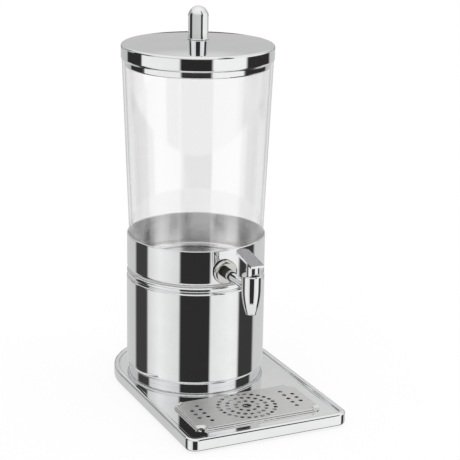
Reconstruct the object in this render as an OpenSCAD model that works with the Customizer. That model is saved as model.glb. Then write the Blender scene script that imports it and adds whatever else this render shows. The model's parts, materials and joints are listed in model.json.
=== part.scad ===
// Countertop juice dispenser: steel stand with drip grid, cooled pot, clear tank, lid and lever tap.
// Millimetres, +Z up, the tap points to -Y; the origin is under the middle of the base, on the table.

/* [Base] */
// Width of the base, and the diameter of its round back end
base_w = 226; // [206:1:250]
// Depth of the base, front edge to back end
base_d = 354; // [336:1:400]
// Height of the rim over the table
base_h = 20; // [16:0.5:28]
// Room between the table and the skirt
skirt_gap = 3; // [2:0.5:5]
// Sheet thickness of the base tray
tray_sheet = 1.2; // [0.8:0.1:1.6]
// Depth of the floor below the rim
tray_depth = 4; // [3.4:0.1:6]
// Outer corner radius at the front
front_corner_r = 14; // [12:1:24]
// Rounding between the skirt and the rim
rim_edge_r = 3; // [2:0.5:4]
// Flat width of the rim
rim_land = 2.2; // [1.6:0.1:3]
// Radius of the hem that turns the skirt in at the bottom
skirt_hem_r = 3; // [2:0.5:4]
// Diameter of a rubber foot
foot_d = 22; // [16:1:26]
// Distance of the feet from the side edges and from the round back edge
foot_inset = 29; // [26:1:40]
// Distance of the front feet from the front edge
foot_front = 28; // [26:1:50]
// Angle between a back foot and the middle plane
foot_back_angle = 50; // [25:1:70]

/* [Drip grid] */
// Width of the grid plate
grid_w = 175; // [160:1:196]
// Depth of the grid plate
grid_d = 89; // [84:1:100]
// Distance of the plate from the front edge of the base
grid_front = 27; // [22:1:40]
// Height of the plate's top over the tray floor
grid_h = 4; // [3.4:0.1:6]
// Sheet thickness of the grid plate
grid_sheet = 1; // [0.8:0.1:1.2]
// Corner radius of the plate
grid_corner_r = 9; // [6:1:14]
// Rounding of the turned-down edge
grid_edge_r = 2; // [1.4:0.1:2.4]
// Room under the turned-down edge
grid_edge_gap = 0.4; // [0.3:0.1:0.8]
// Diameter of a drain hole
hole_d = 5.8; // [3:0.1:6.4]
// Diameter of the middle drain hole
middle_hole_d = 13; // [10:0.5:16]
// Radius of the first ring of holes
ring_r = 15; // [13:0.5:18]
// Step between the rings of holes
ring_step = 11.35; // [10:0.05:12]
// Holes in the first ring
ring_holes = 10; // [8:1:12]
// Holes that each further ring adds
ring_more = 8; // [4:1:9]
// Number of rings
ring_count = 3; // [1:1:3]
// Sideways place of the inner row of side holes
side_x = 61; // [58:0.5:64]
// Step between side holes
side_step = 12.15; // [9:0.05:13]
// Holes in the inner side row; the outer row has two fewer
side_holes = 5; // [3:2:5]
// Radius of a pressed corner foot where it leaves the plate
dimple_r = 10; // [8:0.1:11]
// Radius of a pressed corner foot where it stands on the tray
dimple_foot_r = 6; // [5:0.1:6.6]
// Distance of a pressed corner foot's middle from the plate's edges
dimple_inset = 4; // [3.6:0.1:5]

/* [Cooler pot] */
// How far the pot stands out past the collar
pot_step = 0.5; // [0:0.1:2]
// Height of the pot from its underside to its seal ledge
pot_h = 136.5; // [120:0.5:160]
// Sheet thickness of the pot
pot_sheet = 1.2; // [0.8:0.1:1.6]
// Rounding of the pot's bottom edge
pot_edge_r = 3.2; // [2.5:0.1:5]
// Rounding of the shoulder under the neck
pot_shoulder_r = 2; // [1.8:0.1:3]
// Height of the pressed bead under the ledge
pot_bead_h = 7; // [6:0.1:10]
// Rounding of the bead's edges
pot_bead_r = 2.5; // [2:0.1:3]
// Height of the neck between shoulder and bead
pot_neck_h = 1.6; // [1:0.1:4]
// How far the bead lies inside the pot wall
pot_bead_inset = 0.4; // [0:0.1:1]
// How far the neck lies inside the bead
pot_neck_inset = 3; // [2.6:0.1:5]
// Distance of the pot's mouth from the edge of the tank's foot
mouth_inset = 12; // [11:0.5:20]
// Height of the turned-down lip round the mouth
mouth_lip_h = 4.5; // [3:0.1:8]
// How far the ring that carries the pot lies inside the pot wall
pedestal_inset = 3.5; // [3.4:0.1:12]
// Height of the ring that carries the pot
pedestal_h = 8; // [6:0.5:12]
// Radial width of the ring that carries the pot
pedestal_wall = 4; // [3.5:0.1:8]
// Rounding of the ring's top edge
pedestal_edge_r = 2; // [1:0.1:2.4]
// Diameter of a mounting boss under the pot
boss_d = 14; // [12:1:20]
// Distance of the mounting bosses' middles from the pot wall
boss_inset = 35; // [26:1:45]
// Number of mounting bosses
boss_count = 3; // [3:1:4]
// Diameter of a column screw
screw_d = 5; // [4:0.5:6]
// Diameter of a column screw's head
screw_head_d = 9; // [8:0.5:10]
// Height of a column screw's head
screw_head_h = 3; // [2.5:0.1:4]
// Diameter of a screw washer
washer_d = 12; // [11:0.5:15]
// Thickness of a screw washer
washer_t = 1; // [0.8:0.1:1.5]
// Room between the cool pack and the pot's mouth
pack_room = 4; // [3:0.5:16]
// Height of the cool pack up to its shoulder
pack_h = 104; // [80:1:110]
// Rounding of the cool pack's edges
pack_edge_r = 9; // [4:0.5:14]
// Diameter of the cool pack's neck
pack_neck_d = 26; // [20:1:34]
// Height of the cool pack's neck
pack_neck_h = 9; // [7:0.5:11]
// Wall of the cool pack's cap
pack_cap_wall = 3; // [2:0.5:5]

/* [Collar and tank] */
// Distance of the collar's outside from the tank's foot
collar_room = 4.5; // [4.4:0.1:8]
// Height of the collar band
collar_h = 48.4; // [44:0.1:60]
// Sheet thickness of the collar band
collar_sheet = 1; // [0.8:0.1:1.4]
// Rounding of the collar's bottom edge
collar_edge_r = 4.2; // [3:0.1:5]
// Radius of the rolled hem at the collar's top
collar_hem_r = 1; // [0.8:0.05:1.2]
// Height of the ring under the collar that centres it in the pot's mouth
spigot_ring_h = 6; // [4:0.5:10]
// Thickness of the seal between pot and collar
pot_seal_t = 2.5; // [2:0.1:4]
// Thickness of the seat ring under the tank
seat_t = 2; // [1.5:0.1:4]
// Radial width of the seat ring under the tank
seat_w = 8; // [5:0.5:20]
// Outer diameter of the tank at its floor
tank_low_d = 180; // [160:0.5:200]
// How far the tank's wall leans out from its floor to its rim
tank_flare = 10.8; // [8:0.1:12]
// Height of the tank
tank_h = 283.5; // [240:0.5:320]
// Wall thickness of the tank
tank_wall = 3; // [2:0.1:4]
// Thickness of the tank's floor
tank_floor = 4; // [3:0.1:6]
// Rounding of the tank's bottom edge
tank_edge_r = 6; // [4.5:0.5:9]

/* [Lid] */
// How far the lid stands out past the tank's rim
lid_overhang = 1.2; // [0.6:0.1:4]
// Height of the lid's edge over the tank's rim
lid_h = 20.5; // [16:0.5:30]
// Rise of the lid's crown over its edge
lid_crown = 6.5; // [3:0.5:12]
// Sheet thickness of the lid
lid_sheet = 1; // [0.8:0.1:1.4]
// Rounding of the lid's top edge
lid_edge_r = 3; // [2:0.5:6]
// Rounding of the lid's bottom edge
lid_roll_r = 3.5; // [2.5:0.1:4]
// Depth of the insert below the tank's rim
insert_depth = 8.8; // [6:0.1:14]
// Sheet thickness of the insert
insert_sheet = 0.8; // [0.6:0.1:1.2]
// Room between the insert and the tank
insert_play = 0.6; // [0.3:0.1:1]
// Rounding of the insert's bottom edge
insert_hem_r = 2; // [1.5:0.1:4]
// Diameter of the knob
knob_d = 27; // [20:0.5:40]
// Height of the knob over its washer
knob_h = 42; // [36:0.5:60]
// Diameter of the washer under the knob
knob_washer_d = 29.4; // [24:0.2:46]
// Thickness of the washer under the knob
knob_washer_t = 1.5; // [1:0.1:3]
// Diameter of the knob's screw
knob_screw_d = 6; // [5:0.5:8]
// Depth of the screw in the knob
knob_screw_grip = 18; // [10:1:26]

/* [Tap] */
// Distance of the spout's axis from the collar
tap_out = 81.9; // [72:0.1:96]
// Height of the shank's axis over the collar's bottom
tap_up = 18.7; // [18:0.1:24]
// Diameter of the tap body
tap_d = 26.6; // [25:0.1:30]
// Height of the tap, spout to bonnet
tap_h = 53.5; // [51:0.5:70]
// Height of the bonnet's top over the shank's axis
tap_top_up = 21.3; // [18:0.1:24]
// Height of the straight part at the top of the tap
tap_straight_h = 18; // [12:0.5:22]
// Diameter of the spout above its rounded end
spout_d = 15.5; // [14:0.1:18]
// Rounding of the spout's end
spout_lip_r = 2.5; // [1:0.1:2.8]
// Diameter of the spout's bore
spout_bore_d = 8; // [6:0.1:9]
// Diameter of the valve chamber
chamber_d = 13; // [12:0.1:14]
// Height of the valve seat over the spout's end
seat_up = 21; // [18:0.5:22]
// Height of the bonnet
bonnet_h = 8; // [7:0.1:9]
// Rounding of the bonnet's top edge
bonnet_edge_r = 1.5; // [0.5:0.1:2.5]
// Depth of the bonnet's spigot
spigot_h = 4; // [3:0.1:4]
// Diameter of the bonnet's spigot
spigot_d = 20; // [18:0.1:21]
// Diameter of the shank
shank_d = 11.8; // [11:0.1:13]
// Diameter of the bore through the shank
shank_bore_d = 8; // [6:0.1:8.4]
// How far the shank ends short of the spout's axis
shank_stop = 8; // [7.4:0.1:9]
// Diameter of the domed flange against the collar
flange_d = 33.5; // [28:0.5:36]
// Thickness of the flange
flange_t = 4.5; // [3:0.1:7]
// Rounding of the flange's front edge
flange_edge_r = 4; // [2:0.1:4.4]
// Length of the ribbed sleeve
sleeve_l = 11; // [8:0.5:20]
// Wall of the ribbed sleeve
sleeve_wall = 1.2; // [1:0.1:2]
// Number of grooves in the ribbed sleeve
groove_count = 4; // [2:1:5]
// Radius of a groove in the ribbed sleeve
groove_r = 0.8; // [0.5:0.1:0.8]
// Width of the bright ring in front of the sleeve
ring_l = 4.5; // [3:0.5:8]
// Wall of the bright ring in front of the sleeve
ring_wall = 1.5; // [1.2:0.1:2.5]
// Width of the seal ring in front of the bright ring
seal_l = 3.4; // [2.4:0.1:5]
// Thickness of the grommet between flange and collar
grommet_t = 2; // [1.5:0.1:3]
// Wall of the grommet's sleeve
grommet_wall = 2.6; // [1.5:0.1:3]
// Diameter of the gasket inside the tank
gasket_d = 26; // [22:0.5:30]
// Thickness of the gasket inside the tank
gasket_t = 3.6; // [3:0.1:5]
// Width of the lock nut across its corners
nut_d = 22; // [18:0.5:24]
// Thickness of the lock nut
nut_t = 6; // [4:0.5:8]
// Length of shank that stands out of the lock nut
shank_tail = 4; // [2:0.5:8]

/* [Valve and lever] */
// Diameter of the valve stem
stem_d = 5; // [4:0.1:5.4]
// Radius of the eye at the stem's top
eye_r = 4; // [3.4:0.1:4.2]
// Thickness of the eye at the stem's top
eye_t = 5; // [4:0.1:5.6]
// Height of the valve cup
cup_h = 8; // [6:0.1:9]
// Height of the valve cup's lip
cup_lip_h = 3; // [2:0.1:4]
// Diameter of the valve cup's hub
cup_hub_d = 8.6; // [7:0.1:10]
// Diameter of the stem's shoulder that carries the spring
shoulder_d = 10.6; // [10:0.1:11]
// Thickness of the stem's shoulder
shoulder_t = 1.2; // [0.8:0.1:2]
// Wire diameter of the valve spring
wire_d = 1; // [0.8:0.1:1.2]
// Mean diameter of the valve spring
coil_d = 8.6; // [8:0.1:9.2]
// Turns of the valve spring
coil_turns = 6; // [4:1:7]
// Section diameter of the stem's seal ring
seal_ring_d = 1.8; // [1.4:0.1:2.2]
// Diameter of the lever's pin
pin_d = 3; // [2.6:0.1:3.4]
// Radius of the lever's heel
heel_r = 6.8; // [6.4:0.1:7.4]
// How far the heel's centre lies in front of the pin
heel_out = 6; // [5:0.1:7]
// Room under the lever's heel when the tap is shut
heel_gap = 0.3; // [0.25:0.05:0.5]
// Radius of the lever's hub round its pin
hub_r = 6.5; // [5.6:0.1:6.6]
// Width of the lever's plate
lever_w = 18.7; // [18.4:0.1:22]
// Diameter of the lever's round neck
neck_d = 18.4; // [17:0.1:19]
// Reach of the lever's front edge from the pin
lever_front = 15.6; // [14.6:0.1:18]
// Reach of the lever's back end from the pin
lever_back = 34.8; // [24:0.1:40]
// Height of the lever's front edge over the pin
lever_up = 8.9; // [8.6:0.1:12]
// Slope of the lever's plate
lever_slope = 9.7; // [5:0.1:16]
// Thickness of the lever's plate
lever_t = 3.6; // [3:0.1:5]
// Thickness of the lever's front lip
lever_lip = 2.8; // [2.4:0.1:3.6]

/* [Hidden] */
$fn = 96;
// Facets of wide curves that another curve is cut by
wide_fn = 384;
// Clearance of pieces that are screwed or pushed together
fit = 0.05;
// Clearance of pieces that slide or turn in one another
run = 0.05;
// Clearance of pieces that move past one another
play = 0.3;
// Overlap that lets a cut run clear of a face
over = 1;

col_y = (base_d - base_w) / 2;
floor_z = base_h - tray_depth;
tray_under_z = floor_z - tray_sheet;
step_r = tray_depth / 2;
rim_w = rim_edge_r + rim_land + 2 * step_r;

grid_y = grid_front + grid_d / 2 - base_d / 2;
grid_z = floor_z + grid_h;

collar_r = tank_low_d / 2 + collar_room;
pot_r = collar_r + pot_step;
pot_z = floor_z + pedestal_h;
pot_floor_z = pot_z + pot_sheet;
ledge_z = pot_z + pot_h;
mouth_r = tank_low_d / 2 - mouth_inset;
bead_r = pot_r - pot_bead_inset;
bead_low_z = ledge_z - pot_bead_h;
shoulder_z = bead_low_z - pot_neck_h - pot_shoulder_r;
pedestal_r = pot_r - pedestal_inset;
boss_circle_r = pot_r - boss_inset;
pack_r = mouth_r - pack_room;
pack_top_z = pot_floor_z + pack_h;
cap_r = pack_neck_d / 2 + pack_cap_wall;

collar_z = ledge_z + pot_seal_t;
collar_top_z = collar_z + collar_h;
spigot_ring_r = mouth_r - play;
seat_z = collar_z + collar_sheet;
tank_z = seat_z + seat_t;
tank_top_z = tank_z + tank_h;
tank_floor_z = tank_z + tank_floor;
tank_top_r = tank_low_d / 2 + tank_flare;
tank_lean = tank_flare / tank_h;
lean_length = sqrt(1 + tank_lean * tank_lean);
tank_wall_across = tank_wall * lean_length;
tank_mouth_r = tank_top_r - tank_wall_across;

lid_r = tank_top_r + lid_overhang;
lid_edge_z = tank_top_z + lid_h;
lid_top_z = lid_edge_z + lid_crown;
lid_bend_mid_r = lid_r - lid_edge_r;
crown_r = (pow(lid_bend_mid_r, 2) + pow(lid_crown, 2)) / (2 * lid_crown);
crown_mid_z = lid_top_z - crown_r;
knob_screw_head_z = lid_top_z - lid_sheet - washer_t - 2 * fit;
insert_r = tank_mouth_r - insert_play - insert_depth * tank_lean;
insert_low_z = tank_top_z - insert_depth;
knob_z = lid_top_z + knob_washer_t;
knob_screw_r = knob_screw_d / 2;

tap_y = col_y - collar_r - tap_out;
tap_z = collar_z + tap_up;
tap_reach = collar_r + tap_out;
tap_r = tap_d / 2;
tap_top_z = tap_z + tap_top_up;
spout_z = tap_top_z - tap_h;
taper_z = tap_top_z - tap_straight_h;
spout_r = spout_d / 2;
lip_z = spout_z + spout_lip_r;
taper_arc_r = (pow(taper_z - lip_z, 2) + pow(tap_r - spout_r, 2)) / (2 * (tap_r - spout_r));
bonnet_z = tap_top_z - bonnet_h;
spigot_z = max(bonnet_z - spigot_h, tap_z + shank_d / 2 + play);
valve_seat_z = spout_z + seat_up;
shank_r = shank_d / 2;
flange_out = collar_r + grommet_t;
sleeve_out = flange_out + flange_t;
ring_out = sleeve_out + sleeve_l;
seal_out = ring_out + ring_l;
tank_wall_out = tank_low_d / 2 + (tap_z - tank_z) * tank_lean;
gasket_out = tank_wall_out - tank_wall_across - gasket_t;
nut_out = gasket_out - nut_t;

pin_z = tap_top_z + heel_r + heel_gap;
shoulder_low_z = valve_seat_z + cup_h;
spring_low_z = shoulder_low_z + shoulder_t;
groove_mid_z = bonnet_z + bonnet_h / 2;
lever_rise = tan(lever_slope);
neck_r = neck_d / 2;
neck_y = (hub_r - heel_out - heel_r) / 2;

// Shared shapes

// Places what turns about the column's axis
module on_column() {
    translate([0, col_y, 0]) children();
}

// Places what turns about the tap's upright axis
module on_tap() {
    translate([0, tap_y, 0]) children();
}

// Places what turns about the shank: the local Z runs from the column's axis to the front
module on_shank() {
    translate([0, col_y, tap_z]) rotate([90, 0, 0]) children();
}

// Quarter of a sheet bend, in the quadrant that starts at the angle "turn"
module bend(outer_r, sheet, turn) {
    rotate(turn) intersection() {
        difference() {
            circle(outer_r);
            circle(outer_r - sheet);
        }
        square(outer_r);
    }
}

// Rectangle from one corner to the other
module span(x0, z0, x1, z1) {
    translate([x0, z0]) square([x1 - x0, z1 - z0]);
}

// Rounded rectangle round the origin, with its own radius at the front and at the back
module outline(w, d, front_r, back_r) {
    for (side = [-1, 1]) {
        translate([side * (w / 2 - front_r), front_r - d / 2]) circle(front_r);
        translate([side * (w / 2 - back_r), d / 2 - back_r]) circle(back_r);
    }
    span(-w / 2, front_r - d / 2, w / 2, d / 2 - back_r);
    span(front_r - w / 2, -d / 2, w / 2 - front_r, front_r - d / 2);
    if (w > 2 * back_r) span(back_r - w / 2, d / 2 - back_r, w / 2 - back_r, d / 2);
}

// Quarter turn of a section whose x runs inward from the radius r
module corner_sweep(r) {
    rotate_extrude(angle = 90) translate([r, 0]) mirror([1, 0]) children();
}

// Sweeps a section along that outline; the section's x runs inward from the edge
module edge_sweep(w, d, front_r, back_r) {
    for (side = [0, 1]) mirror([side, 0, 0]) {
        translate([w / 2 - front_r, front_r - d / 2, 0]) rotate([0, 0, -90]) corner_sweep(front_r) children();
        translate([w / 2 - back_r, d / 2 - back_r, 0]) corner_sweep(back_r) children();
        translate([w / 2, d / 2 - back_r, 0]) rotate([90, 0, 0])
            linear_extrude(d - front_r - back_r) mirror([1, 0]) children();
    }
    translate([front_r - w / 2, -d / 2, 0]) rotate([90, 0, 90]) linear_extrude(w - 2 * front_r) children();
    if (w > 2 * back_r) mirror([0, 1, 0])
        translate([back_r - w / 2, -d / 2, 0]) rotate([90, 0, 90]) linear_extrude(w - 2 * back_r) children();
}

// Filled half section of a leaning round vessel with a rounded bottom edge
module vessel_fill(low_r, low_z, top_z, edge_r) {
    mid_r = low_r + tank_lean * edge_r - edge_r * lean_length;
    mid_z = low_z + edge_r;
    polygon([
        [0, low_z],
        [mid_r, low_z],
        [mid_r, mid_z],
        [mid_r + edge_r / lean_length, mid_z - tank_lean * edge_r / lean_length],
        [low_r + (top_z - low_z) * tank_lean, top_z],
        [0, top_z]
    ]);
    translate([mid_r, mid_z]) circle(edge_r);
}

// Filled half section of the space inside the tank
module tank_space(gap, top_z) {
    low_r = tank_low_d / 2 + tank_floor * tank_lean - tank_wall_across - gap;
    vessel_fill(low_r, tank_floor_z, top_z, tank_edge_r - tank_wall);
}

// Base

// Section of the tray's skirt, rim and step, with x inward from the outer edge
module tray_section() {
    step_u = rim_edge_r + rim_land;
    translate([skirt_hem_r, skirt_gap + skirt_hem_r]) bend(skirt_hem_r, tray_sheet, 180);
    span(0, skirt_gap + skirt_hem_r, tray_sheet, base_h - rim_edge_r);
    translate([rim_edge_r, base_h - rim_edge_r]) bend(rim_edge_r, tray_sheet, 90);
    span(rim_edge_r, base_h - tray_sheet, step_u, base_h);
    translate([step_u, base_h - step_r]) bend(step_r, tray_sheet, 0);
    translate([step_u + 2 * step_r, floor_z + step_r]) bend(step_r + tray_sheet, tray_sheet, 180);
}

module base_tray() {
    color("silver") difference() {
        union() {
            edge_sweep(base_w, base_d, front_corner_r, base_w / 2) tray_section();
            translate([0, 0, tray_under_z]) linear_extrude(tray_sheet)
                outline(base_w - 2 * rim_w, base_d - 2 * rim_w, front_corner_r - rim_w, base_w / 2 - rim_w);
        }
        on_bosses() translate([0, 0, tray_under_z - over])
            cylinder(d = screw_d + 2 * play, h = tray_sheet + 2 * over);
    }
}

// Rubber foot from the table to the tray's underside, with a rounded lower edge
module foot(x, y) {
    foot_edge_r = 2;
    color("dimgray") translate([x, y, 0]) rotate_extrude() {
        span(0, 0, foot_d / 2 - foot_edge_r, tray_under_z);
        span(0, foot_edge_r, foot_d / 2, tray_under_z);
        translate([foot_d / 2 - foot_edge_r, foot_edge_r]) circle(foot_edge_r);
    }
}

module front_foot(side) {
    foot(side * (base_w / 2 - foot_inset), foot_front - base_d / 2);
}

module back_foot(side) {
    out = base_w / 2 - foot_inset;
    foot(side * out * sin(foot_back_angle), col_y + out * cos(foot_back_angle));
}

module foot_front_left() {
    front_foot(-1);
}

module foot_front_right() {
    front_foot(1);
}

module foot_back_left() {
    back_foot(-1);
}

module foot_back_right() {
    back_foot(1);
}

// Drip grid

module drain_holes() {
    circle(d = middle_hole_d);
    for (ring = [0 : ring_count - 1]) {
        count = ring_holes + ring * ring_more;
        for (i = [0 : count - 1]) rotate(i * 360 / count)
            translate([ring_r + ring * ring_step, 0]) circle(d = hole_d);
    }
    for (side = [-1, 1]) for (row = [0, 1]) {
        count = side_holes - 2 * row;
        for (i = [0 : count - 1])
            translate([side * (side_x + row * side_step), (i - (count - 1) / 2) * side_step])
                circle(d = hole_d);
    }
}

// Places what stands in each corner of the plate
module on_grid_corners() {
    for (x = [-1, 1]) for (y = [-1, 1])
        translate([x * (grid_w / 2 - dimple_inset), y * (grid_d / 2 - dimple_inset), 0]) children();
}

// Turned-down edge of the plate, with x inward from the outer edge
module grid_edge_section() {
    translate([grid_edge_r, grid_z - grid_edge_r]) bend(grid_edge_r, grid_sheet, 90);
    span(0, floor_z + grid_edge_gap, grid_sheet, grid_z - grid_edge_r);
}

// Half section of a pressed corner foot, a shallow cup that reaches down to the tray, and of the room in it
dimple_slant = (dimple_r - dimple_foot_r) / grid_h;
dimple_across = grid_sheet * sqrt(1 + dimple_slant * dimple_slant);

module dimple_section() {
    polygon([[0, floor_z], [dimple_foot_r, floor_z], [dimple_r, grid_z], [0, grid_z]]);
}

module dimple_room() {
    polygon([
        [0, floor_z + grid_sheet],
        [dimple_foot_r + grid_sheet * dimple_slant - dimple_across, floor_z + grid_sheet],
        [dimple_r - dimple_across + over * dimple_slant, grid_z + over],
        [0, grid_z + over]
    ]);
}

module drip_grid() {
    flat_r = grid_corner_r - grid_edge_r;
    color("gainsboro") translate([0, grid_y, 0]) difference() {
        union() {
            edge_sweep(grid_w, grid_d, grid_corner_r, grid_corner_r) grid_edge_section();
            translate([0, 0, grid_z - grid_sheet]) linear_extrude(grid_sheet) difference() {
                outline(grid_w - 2 * grid_edge_r, grid_d - 2 * grid_edge_r, flat_r, flat_r);
                drain_holes();
            }
            intersection() {
                on_grid_corners() rotate_extrude() dimple_section();
                translate([0, 0, floor_z]) linear_extrude(grid_h)
                    outline(grid_w - 2 * fit, grid_d - 2 * fit, grid_corner_r - fit, grid_corner_r - fit);
            }
        }
        on_grid_corners() rotate_extrude() dimple_room();
    }
}

// Cooler pot and what carries it

module pedestal_ring() {
    inner_r = pedestal_r - pedestal_wall;
    edge_mid_r = pedestal_r - pedestal_edge_r;
    color("silver") on_column() rotate_extrude() {
        span(inner_r, floor_z + fit, pedestal_r, pot_z - pedestal_edge_r);
        span(inner_r, floor_z + fit, edge_mid_r, pot_z);
        translate([edge_mid_r, pot_z - pedestal_edge_r]) circle(pedestal_edge_r);
    }
}

// Places what stands at each boss under the pot
module on_bosses() {
    on_column() for (i = [0 : boss_count - 1])
        rotate(90 + i * 360 / boss_count) translate([boss_circle_r, 0, 0]) children();
}

module mounting_bosses() {
    color("darkgray") on_bosses() rotate_extrude()
        span(screw_d / 2 + fit, floor_z, boss_d / 2, pot_z);
}

module column_screws() {
    head_z = tray_under_z - washer_t;
    color("gray") on_bosses() rotate_extrude() {
        span(0, head_z - screw_head_h, screw_head_d / 2, head_z);
        span(0, head_z, screw_d / 2, pot_z - play);
    }
}

module screw_washers() {
    color("lightgray") on_bosses() rotate_extrude()
        span(screw_d / 2 + fit, tray_under_z - washer_t, washer_d / 2, tray_under_z);
}

// Drawn pot: rounded bottom, straight wall, shoulder, neck, pressed bead, ledge and turned-down mouth lip
module cooler_pot() {
    neck_out_r = bead_r - pot_neck_inset;
    neck_in_r = neck_out_r - pot_sheet;
    shoulder_top_z = shoulder_z + pot_shoulder_r;
    color("silver") on_column() rotate_extrude() {
        span(0, pot_z, pot_r - pot_edge_r, pot_floor_z);
        translate([pot_r - pot_edge_r, pot_z + pot_edge_r]) bend(pot_edge_r, pot_sheet, 270);
        span(pot_r - pot_sheet, pot_z + pot_edge_r, pot_r, shoulder_z);
        translate([pot_r - pot_shoulder_r, shoulder_z]) bend(pot_shoulder_r, pot_sheet, 0);
        span(neck_in_r, shoulder_top_z - pot_sheet, pot_r - pot_shoulder_r, shoulder_top_z);
        span(neck_in_r, shoulder_top_z - pot_sheet, neck_out_r, bead_low_z + pot_sheet);
        span(neck_in_r, bead_low_z, bead_r - pot_bead_r, bead_low_z + pot_sheet);
        translate([bead_r - pot_bead_r, bead_low_z + pot_bead_r]) bend(pot_bead_r, pot_sheet, 270);
        span(bead_r - pot_sheet, bead_low_z + pot_bead_r, bead_r, ledge_z - pot_bead_r);
        translate([bead_r - pot_bead_r, ledge_z - pot_bead_r]) bend(pot_bead_r, pot_sheet, 0);
        span(mouth_r, ledge_z - pot_sheet, bead_r - pot_bead_r, ledge_z);
        span(mouth_r, ledge_z - mouth_lip_h, mouth_r + pot_sheet, ledge_z);
    }
}

module cool_pack() {
    edge_mid_r = pack_r - pack_edge_r;
    color("steelblue") on_column() rotate_extrude() {
        span(0, pot_floor_z, edge_mid_r, pack_top_z);
        span(0, pot_floor_z + pack_edge_r, pack_r, pack_top_z - pack_edge_r);
        for (z = [pot_floor_z + pack_edge_r, pack_top_z - pack_edge_r])
            translate([edge_mid_r, z]) circle(pack_edge_r);
        span(0, pack_top_z, pack_neck_d / 2, pack_top_z + pack_neck_h);
    }
}

module cool_pack_cap() {
    color("white") on_column() rotate_extrude() {
        span(pack_neck_d / 2 + fit, pack_top_z, cap_r, pack_top_z + pack_neck_h);
        span(0, pack_top_z + pack_neck_h, cap_r, pack_top_z + pack_neck_h + pack_cap_wall);
    }
}

module pot_seal() {
    round_r = pot_seal_t / 2;
    outer_r = bead_r - pot_bead_r - round_r;
    color("whitesmoke") on_column() rotate_extrude() {
        span(mouth_r, ledge_z, outer_r, collar_z);
        translate([outer_r, ledge_z + round_r]) circle(round_r);
    }
}

// Collar and tank

// Band with a closed bottom that carries the tank, a centring ring under it and a rolled hem at the top
module collar_band() {
    hem_mid_r = collar_r - collar_hem_r;
    color("silver") difference() {
        on_column() rotate_extrude() {
            span(0, collar_z, collar_r - collar_edge_r, collar_z + collar_sheet);
            span(spigot_ring_r - collar_sheet, collar_z - spigot_ring_h,
                spigot_ring_r, collar_z + collar_sheet);
            translate([collar_r - collar_edge_r, collar_z + collar_edge_r])
                bend(collar_edge_r, collar_sheet, 270);
            span(collar_r - collar_sheet, collar_z + collar_edge_r, collar_r, collar_top_z - collar_hem_r);
            translate([hem_mid_r, collar_top_z - collar_hem_r]) circle(collar_hem_r);
        }
        on_shank() translate([0, 0, collar_r - collar_edge_r])
            cylinder(r = shank_r + grommet_wall + 2 * fit, h = collar_edge_r + over);
    }
}

module tank_seat_ring() {
    round_r = seat_t / 2;
    outer_r = tank_low_d / 2 - tank_edge_r;
    color("whitesmoke") on_column() rotate_extrude() {
        span(outer_r - seat_w, seat_z, outer_r, tank_z);
        translate([outer_r, seat_z + round_r]) circle(round_r);
    }
}

module tank() {
    color([0.85, 0.9, 0.93, 0.35]) difference() {
        on_column() rotate_extrude() difference() {
            vessel_fill(tank_low_d / 2, tank_z, tank_top_z, tank_edge_r);
            tank_space(0, tank_top_z + over);
        }
        on_shank() translate([0, 0, gasket_out])
            cylinder(r = shank_r + play, h = gasket_t + 2 * tank_wall_across);
    }
}

// Lid

// Half section of the lid's crown, a wide arc from the screw hole to the edge's bend
module crown_section() {
    intersection() {
        difference() {
            translate([0, crown_mid_z]) circle(crown_r, $fn = wide_fn);
            translate([0, crown_mid_z - lid_sheet]) circle(crown_r, $fn = wide_fn);
        }
        span(knob_screw_r + play, lid_edge_z - 2 * lid_sheet, lid_bend_mid_r, lid_top_z + over);
    }
}

module lid_cover() {
    flange_in_r = insert_r + fit;
    color("silver") on_column() rotate_extrude() {
        crown_section();
        translate([lid_bend_mid_r, lid_edge_z - lid_edge_r]) bend(lid_edge_r, lid_sheet, 0);
        span(lid_r - lid_sheet, tank_top_z + lid_roll_r, lid_r, lid_edge_z - lid_edge_r);
        translate([lid_r - lid_roll_r, tank_top_z + lid_roll_r]) bend(lid_roll_r, lid_sheet, 270);
        span(flange_in_r, tank_top_z, lid_r - lid_roll_r, tank_top_z + lid_sheet);
    }
}

// Ring inside the lid that reaches into the tank's mouth
module lid_insert() {
    flange_z = tank_top_z + lid_sheet;
    color("silver") on_column() rotate_extrude() {
        span(insert_r - insert_sheet, flange_z, lid_r - lid_roll_r, flange_z + insert_sheet);
        span(insert_r - insert_sheet, insert_low_z + insert_hem_r, insert_r, flange_z + insert_sheet);
        translate([insert_r - insert_hem_r, insert_low_z + insert_hem_r])
            bend(insert_hem_r, insert_sheet, 270);
    }
}

module lid_knob() {
    dome_z = knob_z + knob_h - knob_d / 2;
    color("silver") on_column() rotate_extrude() difference() {
        union() {
            span(0, knob_z, knob_d / 2, dome_z);
            intersection() {
                translate([0, dome_z]) circle(d = knob_d);
                span(0, dome_z, knob_d / 2, dome_z + knob_d / 2);
            }
        }
        span(0, knob_z, knob_screw_r + fit, knob_z + knob_screw_grip + play);
    }
}

module knob_washer() {
    round_r = knob_washer_t / 2;
    outer_r = knob_washer_d / 2 - round_r;
    color("darkgray") on_column() rotate_extrude() {
        span(knob_screw_r + fit, lid_top_z, outer_r, knob_z);
        translate([outer_r, lid_top_z + round_r]) circle(round_r);
    }
}

module knob_screw() {
    color("gray") on_column() rotate_extrude() {
        span(0, knob_screw_head_z - screw_head_h, knob_screw_d, knob_screw_head_z);
        span(0, knob_screw_head_z, knob_screw_r, knob_z + knob_screw_grip);
    }
}

module knob_screw_washer() {
    color("lightgray") on_column() rotate_extrude()
        span(knob_screw_r + fit, knob_screw_head_z,
            knob_screw_d + 2 * washer_t, knob_screw_head_z + washer_t);
}

// Tap

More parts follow.
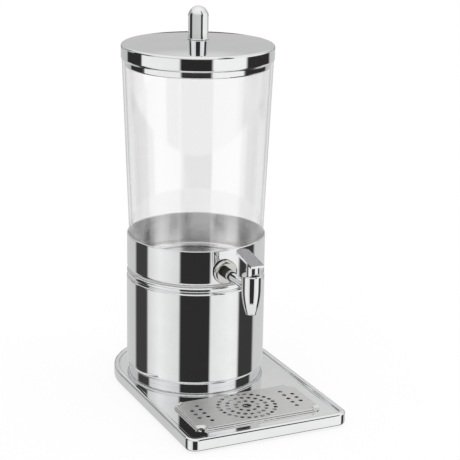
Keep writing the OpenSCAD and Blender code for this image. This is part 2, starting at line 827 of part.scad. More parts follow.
// Half section of the tap: straight top, one long arc down to the spout, rounded spout end
module tap_section() {
    span(0, taper_z, tap_r, bonnet_z);
    intersection() {
        translate([tap_r - taper_arc_r, taper_z]) circle(taper_arc_r, $fn = wide_fn);
        span(0, lip_z, tap_r, taper_z);
    }
    span(0, spout_z, spout_r - spout_lip_r, lip_z);
    translate([spout_r - spout_lip_r, lip_z]) circle(spout_lip_r);
}

module tap_body() {
    color("silver") difference() {
        on_tap() rotate_extrude() tap_section();
        on_tap() {
            translate([0, 0, spout_z - over]) cylinder(d = spout_bore_d, h = seat_up + 2 * over);
            translate([0, 0, valve_seat_z]) cylinder(d = chamber_d, h = bonnet_z - valve_seat_z + over);
            translate([0, 0, spigot_z]) cylinder(d = spigot_d, h = bonnet_z - spigot_z + over);
        }
        on_shank() {
            translate([0, 0, tap_reach - tap_r - over])
                cylinder(r = shank_r + fit, h = tap_r - shank_stop + over);
            translate([0, 0, tap_reach - tap_r]) cylinder(d = shank_bore_d, h = tap_r);
        }
    }
}

// Screw cap over the valve, with a hollow spigot and a groove for the stem's seal
module tap_bonnet() {
    edge_mid_r = tap_r - bonnet_edge_r;
    stem_hole_r = stem_d / 2 + run;
    color("silver") on_tap() rotate_extrude() difference() {
        union() {
            span(stem_hole_r, bonnet_z, tap_r, tap_top_z - bonnet_edge_r);
            span(stem_hole_r, bonnet_z, edge_mid_r, tap_top_z);
            translate([edge_mid_r, tap_top_z - bonnet_edge_r]) circle(bonnet_edge_r);
            span(chamber_d / 2, spigot_z, spigot_d / 2 - fit, bonnet_z);
        }
        span(0, groove_mid_z - seal_ring_d / 2 - fit, stem_hole_r + seal_ring_d + 2 * fit,
             groove_mid_z + seal_ring_d / 2 + fit);
    }
}

module tap_shank() {
    tail_out = nut_out - shank_tail;
    color("silver") on_shank() translate([0, 0, tail_out]) rotate_extrude()
        span(shank_bore_d / 2, 0, shank_r, tap_reach - shank_stop - tail_out);
}

// Domed flange against the collar
module tap_flange() {
    edge_mid_r = flange_d / 2 - flange_edge_r;
    color("silver") on_shank() translate([0, 0, flange_out]) rotate_extrude() {
        span(shank_r + fit, 0, flange_d / 2, flange_t - flange_edge_r);
        span(shank_r + fit, 0, edge_mid_r, flange_t);
        intersection() {
            translate([edge_mid_r, flange_t - flange_edge_r]) circle(flange_edge_r);
            span(edge_mid_r, 0, flange_d / 2, flange_t);
        }
    }
}

// Ribbed sleeve in front of the flange
module shank_sleeve() {
    pitch = sleeve_l / groove_count;
    outer_r = shank_r + fit + sleeve_wall;
    color("dimgray") on_shank() translate([0, 0, sleeve_out]) rotate_extrude() difference() {
        span(shank_r + fit, 0, outer_r, sleeve_l);
        for (i = [0 : groove_count - 1]) translate([outer_r, (i + 0.5) * pitch]) circle(groove_r);
    }
}

// Bright ring that holds the sleeve
module shank_ring() {
    round_r = ring_wall / 2;
    outer_r = shank_r + fit + ring_wall;
    color("silver") on_shank() translate([0, 0, ring_out]) rotate_extrude() {
        span(shank_r + fit, 0, outer_r - round_r, ring_l);
        span(shank_r + fit, round_r, outer_r, ring_l - round_r);
        for (z = [round_r, ring_l - round_r]) translate([outer_r - round_r, z]) circle(round_r);
    }
}

// Soft ring in front of the bright one
module shank_seal() {
    round_r = seal_l / 2;
    color("dimgray") on_shank() translate([0, 0, seal_out]) rotate_extrude() intersection() {
        translate([shank_r - round_r / 3, round_r]) circle(round_r);
        span(shank_r + fit, 0, shank_r + round_r, seal_l);
    }
}

// Soft grommet: a saddle under the flange and a sleeve through the collar to the tank
module tap_grommet() {
    saddle_d = flange_d - 2 * grommet_t;
    color("whitesmoke") {
        difference() {
            on_shank() translate([0, 0, collar_r - collar_edge_r]) rotate_extrude()
                span(shank_r + fit, 0, saddle_d / 2, collar_edge_r + grommet_t);
            on_column() translate([0, 0, collar_z]) cylinder(r = collar_r + fit, h = collar_h, $fn = wide_fn);
        }
        difference() {
            on_shank() translate([0, 0, tank_wall_out - tank_wall]) rotate_extrude()
                span(shank_r + fit, 0, shank_r + grommet_wall, flange_out - tank_wall_out + tank_wall);
            on_column() rotate_extrude($fn = wide_fn)
                vessel_fill(tank_low_d / 2 + play, tank_z, tank_top_z, tank_edge_r);
        }
    }
}

module tank_gasket() {
    color("whitesmoke") intersection() {
        on_shank() translate([0, 0, gasket_out]) rotate_extrude()
            span(shank_r + fit, 0, gasket_d / 2, gasket_t + over);
        on_column() rotate_extrude($fn = wide_fn) tank_space(play, tank_top_z);
    }
}

module lock_nut() {
    color("darkgray") on_shank() translate([0, 0, nut_out]) difference() {
        cylinder(d = nut_d, h = nut_t, $fn = 6);
        translate([0, 0, -over]) cylinder(r = shank_r + fit, h = nut_t + 2 * over);
    }
}

// Valve

module valve_stem() {
    spigot_low_z = valve_seat_z + cup_lip_h;
    color("lightgray") on_tap() difference() {
        union() {
            rotate_extrude() {
                span(0, spigot_low_z, stem_d / 2, pin_z);
                span(0, shoulder_low_z, shoulder_d / 2, spring_low_z);
            }
            translate([-eye_t / 2, 0, pin_z]) rotate([0, 90, 0]) cylinder(r = eye_r, h = eye_t);
        }
        translate([-eye_t, 0, pin_z]) rotate([0, 90, 0]) cylinder(d = pin_d + fit, h = 2 * eye_t);
    }
}

// Soft cup on the stem's end that shuts the seat
module valve_cup() {
    color("whitesmoke") on_tap() rotate_extrude() difference() {
        union() {
            span(0, valve_seat_z, chamber_d / 2 - play, valve_seat_z + cup_lip_h);
            span(0, valve_seat_z, cup_hub_d / 2, shoulder_low_z);
        }
        span(0, valve_seat_z + cup_lip_h, stem_d / 2 + fit, shoulder_low_z + over);
    }
}

// Points of the spring's wire: rings of "sides" points along a helix
wire_sides = 6;
turn_rings = 12;
coil_low_z = spring_low_z + wire_d / 2 + run;
coil_high_z = bonnet_z - wire_d / 2 - run;
coil_rings = coil_turns * turn_rings + 1;
coil_pitch = (coil_high_z - coil_low_z) / coil_turns;

function coil_middle(ring) =
    let (turn = ring * 360 / turn_rings)
    [coil_d / 2 * cos(turn), coil_d / 2 * sin(turn), coil_low_z + ring * coil_pitch / turn_rings];

function coil_point(ring, side) =
    let (turn = ring * 360 / turn_rings, around = side * 360 / wire_sides)
    coil_middle(ring) + wire_d / 2 * [cos(around) * cos(turn), cos(around) * sin(turn), sin(around)];

function wire_faces(ring) = [
    for (side = [0 : wire_sides - 1])
        let (a = ring * wire_sides + side, b = ring * wire_sides + (side + 1) % wire_sides)
        each [[a, b + wire_sides, b], [a, a + wire_sides, b + wire_sides]]
];

module valve_spring() {
    points = [for (ring = [0 : coil_rings - 1]) for (side = [0 : wire_sides - 1]) coil_point(ring, side)];
    last = (coil_rings - 1) * wire_sides;
    faces = concat(
        [for (ring = [0 : coil_rings - 2]) each wire_faces(ring)],
        [for (side = [1 : wire_sides - 2]) [0, side, side + 1]],
        [for (side = [1 : wire_sides - 2]) [last, last + side + 1, last + side]]
    );
    color("silver") on_tap() polyhedron(points, faces);
    middles = [for (ring = [0 : coil_rings - 1]) coil_middle(ring)];
    echo(spring_gap = min([
        for (a = [0 : coil_rings - 1]) for (b = [a + turn_rings / 2 : coil_rings - 1])
            norm(middles[a] - middles[b]) - wire_d
    ]));
}

module stem_seal() {
    color("dimgray") on_tap() rotate_extrude()
        translate([stem_d / 2 + 2 * run + seal_ring_d / 2, groove_mid_z]) circle(d = seal_ring_d);
}

// Lever

// Side view of the lever's sloped plate, round its pin
module lever_plate_side() {
    back_up = lever_up + (lever_front + lever_back) * lever_rise;
    polygon([
        [-lever_front, lever_up],
        [lever_back, back_up],
        [lever_back, back_up - lever_t],
        [-lever_front, lever_up - lever_lip]
    ]);
}

// The same view of the neck, up into the plate
module lever_neck_side() {
    neck_up = lever_up - lever_lip / 2;
    polygon([
        [-lever_front, 0],
        [lever_front, 0],
        [lever_front, neck_up + 2 * lever_front * lever_rise],
        [-lever_front, neck_up]
    ]);
}

// The same view's round hub and heel
module lever_rounds() {
    circle(hub_r);
    translate([-heel_out, 0]) circle(heel_r);
}

// The same view of the slot that the stem needs while the lever tilts
module lever_slot_side() {
    half = stem_d / 2 + play;
    low = heel_r + over;
    polygon([[half, 0], [half, -low], [-low - half * sqrt(2), -low], [-half / sqrt(2), half / sqrt(2)]]);
}

// Plan view: a straight plate with a round back end
module lever_plan() {
    span(-lever_w / 2, -lever_front - over, lever_w / 2, lever_back - lever_w / 2);
    translate([0, lever_back - lever_w / 2]) circle(lever_w / 2);
}

// Draws a side view out to both sides of the middle plane
module across_lever(w) {
    rotate([90, 0, 90]) translate([0, 0, -w / 2]) linear_extrude(w) children();
}

module tap_lever() {
    top_z = lever_up + (lever_front + lever_back) * lever_rise + over;
    slot_w = eye_t + 2 * play;
    color("silver") translate([0, tap_y, pin_z]) difference() {
        union() {
            intersection() {
                across_lever(2 * lever_w) lever_plate_side();
                linear_extrude(top_z) lever_plan();
            }
            intersection() {
                union() {
                    across_lever(2 * lever_w) lever_neck_side();
                    across_lever(2 * lever_w) lever_rounds();
                }
                translate([0, neck_y, -heel_r - over]) cylinder(r = neck_r, h = heel_r + top_z + over);
            }
        }
        across_lever(slot_w) circle(eye_r + play);
        across_lever(slot_w) lever_slot_side();
        translate([-lever_w, 0, 0]) rotate([0, 90, 0]) cylinder(r = pin_d / 2 + run, h = 2 * lever_w);
    }
}

module lever_pin() {
    pin_l = 2 * sqrt(neck_r * neck_r - neck_y * neck_y) + 2 * play;
    color("gray") translate([-pin_l / 2, tap_y, pin_z]) rotate([0, 90, 0]) cylinder(d = pin_d, h = pin_l);
}

base_tray();
foot_front_left();
foot_front_right();
foot_back_left();
foot_back_right();
drip_grid();
pedestal_ring();
mounting_bosses();
column_screws();
screw_washers();
cooler_pot();
cool_pack();
cool_pack_cap();
pot_seal();
collar_band();
tank_seat_ring();
tank();
lid_cover();
lid_insert();
lid_knob();
knob_washer();
knob_screw();
knob_screw_washer();
tap_body();
tap_bonnet();
tap_shank();
tap_flange();
shank_sleeve();
shank_ring();
shank_seal();
tap_grommet();
tank_gasket();
lock_nut();
valve_stem();
valve_cup();
valve_spring();
stem_seal();
tap_lever();
lever_pin();
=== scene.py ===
import json
import math

import bpy
from mathutils import Matrix, Vector


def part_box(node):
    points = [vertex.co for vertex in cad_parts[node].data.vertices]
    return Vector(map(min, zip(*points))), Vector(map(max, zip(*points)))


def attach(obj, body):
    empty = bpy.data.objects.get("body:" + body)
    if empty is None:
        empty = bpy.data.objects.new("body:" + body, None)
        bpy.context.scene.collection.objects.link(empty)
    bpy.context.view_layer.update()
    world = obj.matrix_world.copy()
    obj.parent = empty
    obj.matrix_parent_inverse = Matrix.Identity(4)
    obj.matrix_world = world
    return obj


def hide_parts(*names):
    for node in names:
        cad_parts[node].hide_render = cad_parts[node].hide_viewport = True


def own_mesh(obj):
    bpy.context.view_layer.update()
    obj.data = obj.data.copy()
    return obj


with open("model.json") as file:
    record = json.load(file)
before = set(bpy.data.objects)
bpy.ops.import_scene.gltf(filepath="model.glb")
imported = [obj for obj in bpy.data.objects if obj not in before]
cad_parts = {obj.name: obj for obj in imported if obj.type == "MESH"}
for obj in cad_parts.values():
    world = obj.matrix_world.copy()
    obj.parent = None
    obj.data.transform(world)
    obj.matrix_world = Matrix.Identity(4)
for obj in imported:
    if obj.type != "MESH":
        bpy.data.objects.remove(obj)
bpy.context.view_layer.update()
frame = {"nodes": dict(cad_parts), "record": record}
nodes = frame["nodes"]
scene = bpy.context.scene
print("frame loaded:", len(nodes), "nodes")

scene.view_settings.view_transform = "Standard"
scene.cycles.transparent_max_bounces = 40  # the tank's walls are crossed many times inside the collar
scene.cycles.glossy_bounces = 8

# Camera, fitted to the photograph's outlines

cameraLook = {
    "azimuth": 23.95,
    "distance": 1.97053,
    "height": 0.80959,
    "column": (0.0, 0.064, 0.0),
    "targetHeight": 0.230,
    "yaw": 1.29,
    "pitch": 0.45,
    "roll": -0.6,
    "lens": 117.57,
    "sensor": 36,
    "clip": (0.05, 50),
}


def makeCamera(s):
    turn = math.radians(s["azimuth"])
    column = Vector(s["column"])
    place = column + Vector((-s["distance"] * math.sin(turn), -s["distance"] * math.cos(turn), s["height"]))
    forward = (column + Vector((0, 0, s["targetHeight"])) - place).normalized()
    right = forward.cross(Vector((0, 0, 1))).normalized()
    up = right.cross(forward)
    aim = Matrix((right, up, -forward))
    twist = (
        Matrix.Rotation(math.radians(s["roll"]), 3, "Z")
        @ Matrix.Rotation(math.radians(s["pitch"]), 3, "X")
        @ Matrix.Rotation(math.radians(s["yaw"]), 3, "Y")
    )
    data = bpy.data.cameras.new("photoCamera")
    data.lens = s["lens"]
    data.sensor_width = s["sensor"]
    data.clip_start, data.clip_end = s["clip"]
    obj = bpy.data.objects.new("photoCamera", data)
    scene.collection.objects.link(obj)
    obj.matrix_world = Matrix.Translation(place) @ (twist @ aim).transposed().to_4x4()
    scene.camera = obj


makeCamera(cameraLook)
print("camera placed")

# Small helpers for shader trees


def newMaterial(name):
    mat = bpy.data.materials.new(name)
    mat.use_nodes = True
    tree = mat.node_tree
    return mat, tree, tree.nodes["Principled BSDF"]


def addNode(tree, kind, **values):
    node = tree.nodes.new(kind)
    for key, value in values.items():
        setattr(node, key, value)
    return node


def mathNode(tree, operation, a, b):
    node = addNode(tree, "ShaderNodeMath", operation=operation)
    for i, value in enumerate((a, b)):
        if isinstance(value, (int, float)):
            node.inputs[i].default_value = value
        else:
            tree.links.new(value, node.inputs[i])
    return node.outputs[0]


def rampNode(tree, factor, stops):
    node = addNode(tree, "ShaderNodeValToRGB")
    elements = node.color_ramp.elements
    while len(elements) < len(stops):
        elements.new(0.5)
    for element, (place, value) in zip(elements, sorted(stops)):
        element.position = place
        element.color = (value, value, value, 1) if isinstance(value, (int, float)) else (*value, 1)
    tree.links.new(factor, node.inputs[0])
    return node.outputs[0]


def spanNode(tree, value, low, high):
    span = addNode(tree, "ShaderNodeMapRange", clamp=True)
    span.inputs["From Min"].default_value = low
    span.inputs["From Max"].default_value = high
    tree.links.new(value, span.inputs["Value"])
    return span.outputs["Result"]


def zoneNode(tree, value, low, lowSoft, high, highSoft):
    rise = spanNode(tree, value, low - lowSoft, low + lowSoft)
    fall = spanNode(tree, value, high + highSoft, high - highSoft)
    return mathNode(tree, "MULTIPLY", rise, fall)


def mixColour(tree, factor, a, b):
    mix = addNode(tree, "ShaderNodeMix", data_type="RGBA")
    tree.links.new(factor, mix.inputs["Factor"])
    for label, value in (("A", a), ("B", b)):
        if isinstance(value, tuple):
            mix.inputs[label].default_value = (*value, 1)
        else:
            tree.links.new(value, mix.inputs[label])
    return mix.outputs["Result"]


# Studio: bands of light and dark round the object, as polished steel shows them.
# Angles run from the camera's side (0) to its right (+); heights are the sine of the elevation.
# Each zone has its strips, lower limit, softness, upper limit, softness, and where it ends behind the object.
# Each screen has its left and right angle, lower and upper height, and tone

studio = {
    "azimuth": cameraLook["azimuth"],
    "low": [(-180, 0.66), (-122, 0.62), (-116, 0.055), (-89, 0.055), (-85, 0.76), (-62, 0.95), (-28, 0.78),
            (-24.5, 0.03), (22.5, 0.03), (26, 0.86), (60, 0.97), (74, 0.93), (79, 0.045), (110, 0.045),
            (116, 0.66), (180, 0.66)],
    "middle": [(-180, 0.62), (-131, 0.55), (-127, 0.03), (-93, 0.03), (-90, 0.95), (-28, 0.95), (-24, 0.025),
               (20, 0.025), (24, 1.0), (75, 1.0), (80, 0.03), (130, 0.03), (136, 0.60), (180, 0.62)],
    "upper": [(-180, 0.60), (-112, 0.62), (-106, 0.03), (-76, 0.03), (-66, 0.60), (28, 0.66),
              (32, 0.03), (50, 0.03), (54, 0.95), (110, 0.95), (128, 0.55), (180, 0.60)],
    "front": [(-1.0, 0.85), (-0.64, 0.85), (-0.12, 0.70), (0.30, 0.85), (1.0, 1.0)],
    "back": [(-1.0, 0.05), (-0.64, 0.05), (-0.167, 0.60), (-0.12, 0.60), (-0.11, 0.03), (-0.04, 0.03),
             (-0.02, 0.56), (0.34, 0.58), (0.40, 0.72), (0.6, 0.82), (1.0, 1.0)],
    "frontToBack": (-0.12, 0.12),
    "zones": [("low", (-0.64, 0.02, -0.25, 0.02), None),
              ("middle", (-0.25, 0.004, -0.167, 0.002), None),
              ("upper", (-0.167, 0.002, 0.40, 0.16), (-0.8, -0.7))],
    "screens": [(42, 56, 0.03, 0.85, 0.06), (-140, -120, 0.02, 0.50, 0.28)],
    "screenSoft": (0.004, 0.02),
    "mirrorZone": (0.21, 0.015, 0.56, 0.015),
    "mirrorBehind": (-0.82, -0.76),
    "mirrorBounces": 1.5,
}


def turnShare(angle):
    return (angle + 180) / 360


def makeStudio(s):
    world = bpy.data.worlds.new("studio")
    scene.world = world
    world.use_nodes = True
    tree = world.node_tree
    bands = tree.nodes["Background"]
    coords = addNode(tree, "ShaderNodeTexCoord")
    turn = math.radians(s["azimuth"])
    parts = []
    for axis in ((math.cos(turn), -math.sin(turn), 0), (-math.sin(turn), -math.cos(turn), 0)):
        dot = addNode(tree, "ShaderNodeVectorMath", operation="DOT_PRODUCT")
        dot.inputs[1].default_value = axis
        tree.links.new(coords.outputs["Generated"], dot.inputs[0])
        parts.append(dot.outputs["Value"])
    aside, ahead = parts
    angle = mathNode(tree, "ARCTAN2", aside, ahead)
    around = mathNode(tree, "ADD", mathNode(tree, "DIVIDE", angle, 2 * math.pi), 0.5)
    split = addNode(tree, "ShaderNodeSeparateXYZ")
    tree.links.new(coords.outputs["Generated"], split.inputs[0])
    rise = split.outputs["Z"]
    height = mathNode(tree, "ADD", mathNode(tree, "MULTIPLY", rise, 0.5), 0.5)
    strips = {
        key: rampNode(tree, around, [(turnShare(place), tone) for place, tone in s[key]])
        for key in ("low", "middle", "upper")
    }
    front, back = (rampNode(tree, height, [((z + 1) / 2, tone) for z, tone in s[key]]) for key in ("front", "back"))
    colour = mixColour(tree, spanNode(tree, ahead, *s["frontToBack"]), back, front)
    for key, limits, behind in s["zones"]:
        mask = zoneNode(tree, rise, *limits)
        if behind:
            mask = mathNode(tree, "MULTIPLY", mask, spanNode(tree, ahead, *behind))
        colour = mixColour(tree, mask, colour, strips[key])
    turnSoft, riseSoft = s["screenSoft"]
    for left, right, low, high, tone in s["screens"]:
        beside = zoneNode(tree, around, turnShare(left), turnSoft, turnShare(right), turnSoft)
        mask = mathNode(tree, "MULTIPLY", beside, zoneNode(tree, rise, low, riseSoft, high, riseSoft))
        colour = mixColour(tree, mask, colour, (tone, tone, tone))
    # The tray's image of the pot needs the pot's strips again, higher up
    paths = addNode(tree, "ShaderNodeLightPath")
    again = mathNode(tree, "GREATER_THAN", paths.outputs["Glossy Depth"], s["mirrorBounces"])
    place = mathNode(tree, "MULTIPLY", zoneNode(tree, rise, *s["mirrorZone"]), spanNode(tree, ahead, *s["mirrorBehind"]))
    colour = mixColour(tree, mathNode(tree, "MULTIPLY", place, again), colour, strips["low"])
    tree.links.new(colour, bands.inputs["Color"])
    white = addNode(tree, "ShaderNodeBackground")
    white.inputs["Color"].default_value = (1, 1, 1, 1)
    seen = mathNode(tree, "MAXIMUM", paths.outputs["Is Camera Ray"], paths.outputs["Is Transmission Ray"])
    mix = addNode(tree, "ShaderNodeMixShader")
    tree.links.new(seen, mix.inputs[0])
    tree.links.new(bands.outputs[0], mix.inputs[1])
    tree.links.new(white.outputs[0], mix.inputs[2])
    tree.links.new(mix.outputs[0], tree.nodes["World Output"].inputs[0])


makeStudio(studio)
print("studio made")

# Floor: plain and white, left out of mirror images so that the steel shows the studio

floorLook = {"half": 4.0, "glow": 0.82, "paint": (0.22, 0.22, 0.22)}


def makeFloor(s):
    mesh = bpy.data.meshes.new("floor")
    h = s["half"]
    mesh.from_pydata([(-h, -h, 0), (h, -h, 0), (h, h, 0), (-h, h, 0)], [], [(0, 1, 2, 3)])
    obj = bpy.data.objects.new("floor", mesh)
    scene.collection.objects.link(obj)
    mat, tree, bsdf = newMaterial("floorWhite")
    bsdf.inputs["Base Color"].default_value = (*s["paint"], 1)
    bsdf.inputs["Roughness"].default_value = 1.0
    bsdf.inputs["Specular IOR Level"].default_value = 0.0
    bsdf.inputs["Emission Color"].default_value = (1, 1, 1, 1)
    bsdf.inputs["Emission Strength"].default_value = s["glow"]
    mesh.materials.append(mat)
    obj.visible_glossy = False


makeFloor(floorLook)
print("floor made")

# Shared effects

polishLook = {"detail": 4, "roughness": 0.6}
streakLook = {"detail": 3, "distance": 0.0002}


def newGroup(name, inputs, outputs):
    group = bpy.data.node_groups.new(name, "ShaderNodeTree")
    for label, kind in inputs:
        group.interface.new_socket(label, in_out="INPUT", socket_type=kind)
    for label, kind in outputs:
        group.interface.new_socket(label, in_out="OUTPUT", socket_type=kind)
    return group, addNode(group, "NodeGroupInput"), addNode(group, "NodeGroupOutput")


def makePolishGroup(s):
    group, start, end = newGroup(
        "polishMarks",
        [("Scale", "NodeSocketFloat"), ("Haze", "NodeSocketFloat"), ("Base", "NodeSocketFloat")],
        [("Roughness", "NodeSocketFloat"), ("Tint", "NodeSocketFloat")],
    )
    coords = addNode(group, "ShaderNodeTexCoord")
    cloud = addNode(group, "ShaderNodeTexNoise")
    cloud.inputs["Detail"].default_value = s["detail"]
    cloud.inputs["Roughness"].default_value = s["roughness"]
    group.links.new(coords.outputs["Object"], cloud.inputs["Vector"])
    group.links.new(start.outputs["Scale"], cloud.inputs["Scale"])
    haze = mathNode(group, "MULTIPLY", cloud.outputs["Fac"], start.outputs["Haze"])
    group.links.new(mathNode(group, "ADD", haze, start.outputs["Base"]), end.inputs["Roughness"])
    group.links.new(cloud.outputs["Fac"], end.inputs["Tint"])
    return group


def makeStreakGroup(s):
    group, start, end = newGroup(
        "brushedStreaks",
        [("Stretch", "NodeSocketVector"), ("Depth", "NodeSocketFloat")],
        [("Mask", "NodeSocketFloat"), ("Normal", "NodeSocketVector")],
    )
    coords = addNode(group, "ShaderNodeTexCoord")
    stretch = addNode(group, "ShaderNodeVectorMath", operation="MULTIPLY")
    group.links.new(coords.outputs["Object"], stretch.inputs[0])
    group.links.new(start.outputs["Stretch"], stretch.inputs[1])
    streak = addNode(group, "ShaderNodeTexNoise")
    streak.inputs["Scale"].default_value = 1.0
    streak.inputs["Detail"].default_value = s["detail"]
    group.links.new(stretch.outputs[0], streak.inputs["Vector"])
    bump = addNode(group, "ShaderNodeBump")
    bump.inputs["Distance"].default_value = s["distance"]
    group.links.new(start.outputs["Depth"], bump.inputs["Strength"])
    group.links.new(streak.outputs["Fac"], bump.inputs["Height"])
    group.links.new(streak.outputs["Fac"], end.inputs["Mask"])
    group.links.new(bump.outputs["Normal"], end.inputs["Normal"])
    return group


def makeFaceGroup():
    group, start, end = newGroup(
        "upperFace",
        [("Level", "NodeSocketFloat")],
        [("By Height", "NodeSocketFloat"), ("By Slope", "NodeSocketFloat")],
    )
    coords = addNode(group, "ShaderNodeTexCoord")
    for source, label in (("Object", "By Height"), ("Normal", "By Slope")):
        split = addNode(group, "ShaderNodeSeparateXYZ")
        group.links.new(coords.outputs[source], split.inputs[0])
        above = mathNode(group, "GREATER_THAN", split.outputs["Z"], start.outputs["Level"])
        group.links.new(above, end.inputs[label])
    return group


polishMarks = makePolishGroup(polishLook)
brushedStreaks = makeStreakGroup(streakLook)
upperFace = makeFaceGroup()


def useGroup(tree, group, **values):
    node = addNode(tree, "ShaderNodeGroup", node_tree=group)
    for label, value in values.items():
        node.inputs[label].default_value = value
    return node.outputs


def usePolish(tree, s):
    return useGroup(tree, polishMarks, Scale=s["scale"], Haze=s["haze"], Base=s["base"])


# Noise stays near its middle, so tones are spread between these two values
toneStops = (0.3, 0.7)


def toneRamp(tree, factor, tones):
    return rampNode(tree, factor, list(zip(toneStops, tones)))


# Leaves a piece out of mirror images that are farther away than reach
def clearInMirrors(tree, reach):
    out = tree.nodes["Material Output"].inputs["Surface"]
    shader = out.links[0].from_socket
    paths = addNode(tree, "ShaderNodeLightPath")
    far = mathNode(tree, "GREATER_THAN", paths.outputs["Ray Length"], reach)
    through = addNode(tree, "ShaderNodeBsdfTransparent")
    mix = addNode(tree, "ShaderNodeMixShader")
    tree.links.new(mathNode(tree, "MULTIPLY", paths.outputs["Is Glossy Ray"], far), mix.inputs[0])
    tree.links.new(shader, mix.inputs[1])
    tree.links.new(through.outputs[0], mix.inputs[2])
    tree.links.new(mix.outputs[0], out)


def radiusMask(tree, axis, radius):
    coords = addNode(tree, "ShaderNodeTexCoord")
    shift = addNode(tree, "ShaderNodeVectorMath", operation="SUBTRACT")
    shift.inputs[1].default_value = (*axis, 0)
    tree.links.new(coords.outputs["Object"], shift.inputs[0])
    flat = addNode(tree, "ShaderNodeVectorMath", operation="MULTIPLY")
    flat.inputs[1].default_value = (1, 1, 0)
    tree.links.new(shift.outputs[0], flat.inputs[0])
    length = addNode(tree, "ShaderNodeVectorMath", operation="LENGTH")
    tree.links.new(flat.outputs[0], length.inputs[0])
    return mathNode(tree, "LESS_THAN", length.outputs["Value"], radius)


# Steel

mirrorReach = 0.03
steelLook = {"scale": 35.0, "haze": 0.02, "base": 0.012, "tones": ((0.84, 0.845, 0.85), (0.88, 0.885, 0.89))}
trayLook = {**steelLook, "reach": mirrorReach}
# The flange's steel is the polished steel painted darker and warmer: painted shade
shadedFlangeLook = {**steelLook, "tones": ((0.58, 0.565, 0.53), (0.68, 0.665, 0.63))}
# Inside the collar the steel is satin and painted lighter (the inside colour): painted light that brightens the dim
# inner wall
collarLook = {**steelLook, "axis": (0.0, 0.064), "innerRadius": 0.0938, "inside": (0.93, 0.93, 0.93), "satin": 0.20}
gridLook = {
    "stretch": (30.0, 1500.0, 1500.0),
    "depth": 0.06,
    "tones": ((0.69, 0.685, 0.675), (0.80, 0.795, 0.785)),
    "roughness": (0.34, 0.42),
    "face": 0.0196,
    "polish": 0.08,
    "reach": mirrorReach,
}
plainLook = {
    "stretch": (400.0, 400.0, 400.0),
    "depth": 0.05,
    "tones": ((0.5, 0.505, 0.51), (0.6, 0.605, 0.61)),
    "roughness": (0.3, 0.4),
}
# Lever: its upward faces are satin and painted darker (the tones), which is painted shade; its other faces are
# bright polished steel
leverLook = {
    **steelLook,
    "face": 0.6,
    "stretch": (900.0, 12.0, 900.0),
    "tones": ((0.36, 0.36, 0.37), (0.46, 0.46, 0.47)),
    "bright": (0.87, 0.87, 0.88),
    "satin": 0.25,
}


def newMetal(name):
    mat, tree, bsdf = newMaterial(name)
    bsdf.inputs["Metallic"].default_value = 1.0
    return mat, tree, bsdf


def polishedSteel(name, s):
    mat, tree, bsdf = newMetal(name)
    marks = usePolish(tree, s)
    tree.links.new(marks["Roughness"], bsdf.inputs["Roughness"])
    tree.links.new(toneRamp(tree, marks["Tint"], s["tones"]), bsdf.inputs["Base Color"])
    if "reach" in s:
        clearInMirrors(tree, s["reach"])
    return mat


def satinSteel(name, s):
    mat, tree, bsdf = newMetal(name)
    streaks = useGroup(tree, brushedStreaks, Stretch=s["stretch"], Depth=s["depth"])
    tree.links.new(streaks["Normal"], bsdf.inputs["Normal"])
    tree.links.new(toneRamp(tree, streaks["Mask"], s["tones"]), bsdf.inputs["Base Color"])
    rough = toneRamp(tree, streaks["Mask"], s["roughness"])
    if "face" in s:
        face = useGroup(tree, upperFace, Level=s["face"])["By Height"]
        rough = mathNode(tree, "ADD", mathNode(tree, "MULTIPLY", rough, face), s["polish"])
    tree.links.new(rough, bsdf.inputs["Roughness"])
    if "reach" in s:
        clearInMirrors(tree, s["reach"])
    return mat


def collarSteel(name, s):
    mat, tree, bsdf = newMetal(name)
    marks = usePolish(tree, s)
    inside = radiusMask(tree, s["axis"], s["innerRadius"])
    # Within the inner radius the colour is painted lighter, which is painted light; the added roughness there is
    # the satin finish
    colour = mixColour(tree, inside, toneRamp(tree, marks["Tint"], s["tones"]), s["inside"])
    tree.links.new(colour, bsdf.inputs["Base Color"])
    satin = mathNode(tree, "MULTIPLY", inside, s["satin"])
    tree.links.new(mathNode(tree, "ADD", satin, marks["Roughness"]), bsdf.inputs["Roughness"])
    return mat


def leverSteel(name, s):
    mat, tree, bsdf = newMetal(name)
    marks = usePolish(tree, s)
    face = useGroup(tree, upperFace, Level=s["face"])["By Slope"]
    streaks = useGroup(tree, brushedStreaks, Stretch=s["stretch"])
    # Upward faces take the darker streaked tones, which is painted shade; the other faces take the bright colour
    colour = mixColour(tree, face, s["bright"], toneRamp(tree, streaks["Mask"], s["tones"]))
    tree.links.new(colour, bsdf.inputs["Base Color"])
    satin = mathNode(tree, "MULTIPLY", face, s["satin"])
    tree.links.new(mathNode(tree, "ADD", satin, marks["Roughness"]), bsdf.inputs["Roughness"])
    return mat


steel = polishedSteel("polishedSteel", steelLook)
traySteel = polishedSteel("traySteel", trayLook)
collarMetal = collarSteel("collarSteel", collarLook)
shadedFlangeSteel = polishedSteel("shadedFlangeSteel", shadedFlangeLook)
gridSteel = satinSteel("gridSteel", gridLook)
plainSteel = satinSteel("plainSteel", plainLook)
leverMetal = leverSteel("leverSteel", leverLook)

# Tank: clear plastic that lets the view straight through, with mirror bands that grow towards its edges

tankLook = {
    "color": (0.90, 0.90, 0.915),
    "gloss": 0.062,
    "side": 0.45,
    "sidePower": 4.0,
    "rim": (0.76, 0.92),
    "rimShare": 0.6,
    "scale": 20.0,
    "haze": 0.01,
    "base": 0.0,
}


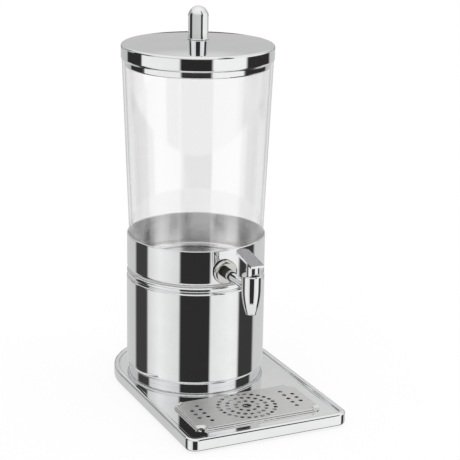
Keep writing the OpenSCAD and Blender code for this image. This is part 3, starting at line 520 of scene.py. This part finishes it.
def clearPlastic(name, s):
    mat, tree, bsdf = newMetal(name)
    bsdf.inputs["Base Color"].default_value = (*s["color"], 1)
    tree.links.new(usePolish(tree, s)["Roughness"], bsdf.inputs["Roughness"])
    edge = addNode(tree, "ShaderNodeLayerWeight").outputs["Facing"]
    side = mathNode(tree, "MULTIPLY", mathNode(tree, "POWER", edge, s["sidePower"]), s["side"])
    rim = mathNode(tree, "MULTIPLY", spanNode(tree, edge, *s["rim"]), s["rimShare"])
    share = mathNode(tree, "ADD", mathNode(tree, "ADD", side, rim), s["gloss"])
    paths = addNode(tree, "ShaderNodeLightPath")
    tree.links.new(mathNode(tree, "MULTIPLY", share, paths.outputs["Is Camera Ray"]), bsdf.inputs["Alpha"])
    return mat


clear = clearPlastic("clearPlastic", tankLook)

# Rubber and plastics

softHaze = 0.2
rubberLook = {"scale": 300.0, "haze": softHaze, "base": 0.6, "tones": ((0.02, 0.02, 0.021), (0.035, 0.035, 0.036))}
siliconeLook = {"scale": 200.0, "haze": softHaze, "base": 0.35, "tones": ((0.72, 0.73, 0.72), (0.8, 0.81, 0.8))}
blueLook = {"scale": 120.0, "haze": softHaze, "base": 0.35, "tones": ((0.08, 0.2, 0.42), (0.1, 0.24, 0.48))}
whiteLook = {"scale": 120.0, "haze": softHaze, "base": 0.25, "tones": ((0.74, 0.75, 0.75), (0.8, 0.81, 0.81))}


def softMaterial(name, s):
    mat, tree, bsdf = newMaterial(name)
    marks = usePolish(tree, s)
    tree.links.new(marks["Roughness"], bsdf.inputs["Roughness"])
    tree.links.new(toneRamp(tree, marks["Tint"], s["tones"]), bsdf.inputs["Base Color"])
    return mat


footRubber = softMaterial("footRubber", rubberLook)
clearInMirrors(footRubber.node_tree, mirrorReach)

bySlot = {
    "polished_steel": steel,
    "satin_steel": gridSteel,
    "plain_steel": plainSteel,
    "clear_plastic": clear,
    "black_rubber": softMaterial("blackRubber", rubberLook),
    "white_silicone": softMaterial("whiteSilicone", siliconeLook),
    "blue_plastic": softMaterial("bluePlastic", blueLook),
    "white_plastic": softMaterial("whitePlastic", whiteLook),
}
byNode = {
    "base_tray": traySteel,
    "tap_lever": leverMetal,
    "collar_band": collarMetal,
    "tank_seat_ring": clear,
    "tap_flange": shadedFlangeSteel,
    **{name: footRubber for name in nodes if name.startswith("foot_")},
}


def dressNodes():
    for part in frame["record"]["subparts"]:
        obj = nodes[part["node"]]
        obj.data.materials.clear()
        obj.data.materials.append(byNode.get(part["node"], bySlot[part["material_slot"]]))


dressNodes()
print("materials set")

# Valve spring: the helix of its solid, drawn again as its own mesh and hung on the tank unit's body

springLook = {"turns": 6, "wire": 0.001, "rings": 24, "sides": 12, "joint": "valve_lift"}


def makeSpring(s):
    low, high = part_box("valve_spring")
    middle = (low + high) / 2
    half = s["wire"] / 2
    radius = middle.x - low.x - half
    count = s["turns"] * s["rings"] + 1
    sides = s["sides"]
    points = []
    for ring in range(count):
        turn = 2 * math.pi * ring / s["rings"]
        height = low.z + half + (high.z - low.z - s["wire"]) * ring / (count - 1)
        for side in range(sides):
            around = 2 * math.pi * side / sides
            reach = radius + half * math.cos(around)
            points.append((middle.x + reach * math.cos(turn), middle.y + reach * math.sin(turn),
                           height + half * math.sin(around)))
    faces = [tuple(range(sides)), tuple(reversed(range((count - 1) * sides, count * sides)))]
    for ring in range(count - 1):
        for side in range(sides):
            a, b = ring * sides + side, ring * sides + (side + 1) % sides
            faces.append((a, a + sides, b + sides, b))
    mesh = bpy.data.meshes.new("valveSpring")
    mesh.from_pydata(points, [], faces)
    mesh.shade_smooth()
    mesh.materials.append(plainSteel)
    obj = bpy.data.objects.new("valveSpring", mesh)
    scene.collection.objects.link(obj)
    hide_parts("valve_spring")
    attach(obj, "tank_unit")
    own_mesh(obj)


makeSpring(springLook)
print("spring made")
